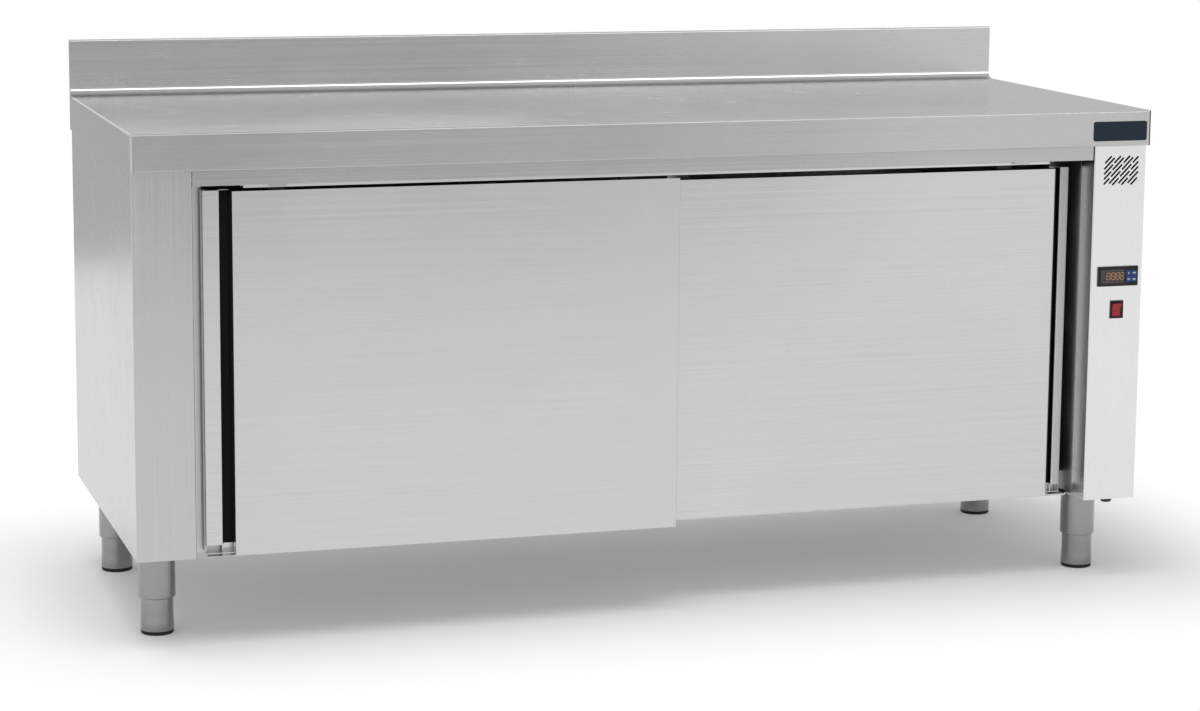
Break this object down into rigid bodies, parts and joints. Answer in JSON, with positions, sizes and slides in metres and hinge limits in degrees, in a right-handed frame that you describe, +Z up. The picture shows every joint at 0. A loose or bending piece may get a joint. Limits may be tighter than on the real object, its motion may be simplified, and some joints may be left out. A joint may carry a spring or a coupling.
{
  "type": "plate warmer cabinet",
  "caption": "Free-standing stainless heated cabinet with two hung sliding doors, a coved upstand behind the worktop, a control column and adjustable legs.",
  "frame": {"origin": "on the floor, under the middle of the worktop's outline", "axes": "+X along the cabinet to the control column, +Y to the wall behind it, +Z up"},
  "size_m": [1.8, 0.7, 0.95],
  "materials": {
    "worktop": "fine brushed grain along the width",
    "outer_sheet": "fine brushed grain",
    "column_sheet": "fine upright brushed grain",
    "door_sheet": "fine brushed grain",
    "liner_sheet": "satin",
    "shelf_sheet": "satin",
    "galvanised_sheet": "zinc grey, satin",
    "pan_sheet": "satin",
    "track_steel": "satin",
    "hanger_steel": "plain",
    "leg_steel": "turned, satin",
    "foot_rubber": "matte",
    "roller_nylon": "matte",
    "insulation_wool": "mineral wool",
    "motor_metal": "satin",
    "heater_metal": "heat-tinted",
    "probe_metal": "bright",
    "terminal_plastic": "matte",
    "gland_plastic": "matte",
    "controller_plastic": "matte",
    "display_glass": "smoked",
    "key_plastic": "satin blue",
    "switch_frame_plastic": "gloss",
    "rocker_plastic": "gloss red"
  },
  "bodies": {
    "cabinet": {"worktop": "worktop", "left_side_panel": "outer_sheet", "right_side_panel": "outer_sheet", "header_rail": "outer_sheet", "column_cover": "column_sheet", "left_liner": "liner_sheet", "right_liner": "liner_sheet", "back_liner": "liner_sheet", "floor_liner": "liner_sheet", "ceiling_liner": "liner_sheet", "air_cover": "liner_sheet", "shelf_uprights": "liner_sheet", "shelf_rails": "liner_sheet", "shelf": "shelf_sheet", "back_panel": "galvanised_sheet", "top_stiffeners": "galvanised_sheet", "column_base": "galvanised_sheet", "track_carrier": "galvanised_sheet", "base_pan": "pan_sheet", "leg_plates": "pan_sheet", "door_track": "track_steel", "bottom_guide": "track_steel", "leg_sleeves": "leg_steel", "track_stops": "foot_rubber", "cabinet_insulation": "insulation_wool", "fan_motor": "motor_metal", "heater_element": "heater_metal", "temperature_probe": "probe_metal", "terminal_block": "terminal_plastic", "cable_gland": "gland_plastic", "controller_case": "controller_plastic", "display_window": "display_glass", "switch_frame": "switch_frame_plastic"},
    "front_door": {"front_door_skin": "door_sheet", "front_door_back": "liner_sheet", "front_door_core": "insulation_wool", "front_door_hangers": "hanger_steel"},
    "rear_door": {"rear_door_skin": "door_sheet", "rear_door_back": "liner_sheet", "rear_door_core": "insulation_wool", "rear_door_hangers": "hanger_steel"},
    "front_outer_roller_body": {"front_door_outer_rollers": "roller_nylon"},
    "front_inner_roller_body": {"front_door_inner_rollers": "roller_nylon"},
    "rear_outer_roller_body": {"rear_door_outer_rollers": "roller_nylon"},
    "rear_inner_roller_body": {"rear_door_inner_rollers": "roller_nylon"},
    "front_left_leg": {"front_left_foot": "leg_steel", "front_left_pad": "foot_rubber"},
    "front_right_leg": {"front_right_foot": "leg_steel", "front_right_pad": "foot_rubber"},
    "rear_left_leg": {"rear_left_foot": "leg_steel", "rear_left_pad": "foot_rubber"},
    "rear_right_leg": {"rear_right_foot": "leg_steel", "rear_right_pad": "foot_rubber"},
    "power_key": {"key_power": "key_plastic"},
    "up_key": {"key_up": "key_plastic"},
    "set_key": {"key_set": "key_plastic"},
    "down_key": {"key_down": "key_plastic"},
    "rocker": {"switch_rocker": "rocker_plastic"},
    "fan": {"fan_impeller": "galvanised_sheet"}
  },
  "joints": [
    {"name": "front_door_slide", "type": "slide", "parent": "cabinet", "child": "front_door", "axis": [1, 0, 0], "range_m": [0, 0.715]},
    {"name": "rear_door_slide", "type": "slide", "parent": "cabinet", "child": "rear_door", "axis": [1, 0, 0], "range_m": [-0.715, 0]},
    {"name": "front_outer_roller_spin", "type": "hinge", "parent": "front_door", "child": "front_outer_roller_body", "pos_m": [-0.659, -0.31, 0.7705], "axis": [0, 1, 0], "continuous": true},
    {"name": "front_inner_roller_spin", "type": "hinge", "parent": "front_door", "child": "front_inner_roller_body", "pos_m": [-0.056, -0.31, 0.7705], "axis": [0, 1, 0], "continuous": true},
    {"name": "rear_outer_roller_spin", "type": "hinge", "parent": "rear_door", "child": "rear_outer_roller_body", "pos_m": [0.659, -0.258, 0.7705], "axis": [0, 1, 0], "continuous": true},
    {"name": "rear_inner_roller_spin", "type": "hinge", "parent": "rear_door", "child": "rear_inner_roller_body", "pos_m": [0.056, -0.258, 0.7705], "axis": [0, 1, 0], "continuous": true},
    {"name": "front_left_leg_height", "type": "slide", "parent": "cabinet", "child": "front_left_leg", "axis": [0, 0, -1], "range_m": [-0.025, 0.03]},
    {"name": "front_right_leg_height", "type": "slide", "parent": "cabinet", "child": "front_right_leg", "axis": [0, 0, -1], "range_m": [-0.025, 0.03]},
    {"name": "rear_left_leg_height", "type": "slide", "parent": "cabinet", "child": "rear_left_leg", "axis": [0, 0, -1], "range_m": [-0.025, 0.03]},
    {"name": "rear_right_leg_height", "type": "slide", "parent": "cabinet", "child": "rear_right_leg", "axis": [0, 0, -1], "range_m": [-0.025, 0.03]},
    {"name": "power_key_press", "type": "slide", "parent": "cabinet", "child": "power_key", "axis": [0, 1, 0], "range_m": [0, 0.0005], "stiffness_N_per_m": 400},
    {"name": "up_key_press", "type": "slide", "parent": "cabinet", "child": "up_key", "axis": [0, 1, 0], "range_m": [0, 0.0005], "stiffness_N_per_m": 400},
    {"name": "set_key_press", "type": "slide", "parent": "cabinet", "child": "set_key", "axis": [0, 1, 0], "range_m": [0, 0.0005], "stiffness_N_per_m": 400},
    {"name": "down_key_press", "type": "slide", "parent": "cabinet", "child": "down_key", "axis": [0, 1, 0], "range_m": [0, 0.0005], "stiffness_N_per_m": 400},
    {"name": "rocker_tip", "type": "hinge", "parent": "cabinet", "child": "rocker", "pos_m": [0.8505, -0.3315, 0.4948], "axis": [1, 0, 0], "range_deg": [-16, 0]},
    {"name": "fan_spin", "type": "hinge", "parent": "cabinet", "child": "fan", "pos_m": [0.78, 0.04, 0.3245], "axis": [1, 0, 0], "continuous": true}
  ],
  "couplings": [
    {"joint": "front_outer_roller_spin", "follows": "front_door_slide", "rad_per_m": 90.909},
    {"joint": "front_inner_roller_spin", "follows": "front_door_slide", "rad_per_m": 90.909},
    {"joint": "rear_outer_roller_spin", "follows": "rear_door_slide", "rad_per_m": 90.909},
    {"joint": "rear_inner_roller_spin", "follows": "rear_door_slide", "rad_per_m": 90.909}
  ]
}
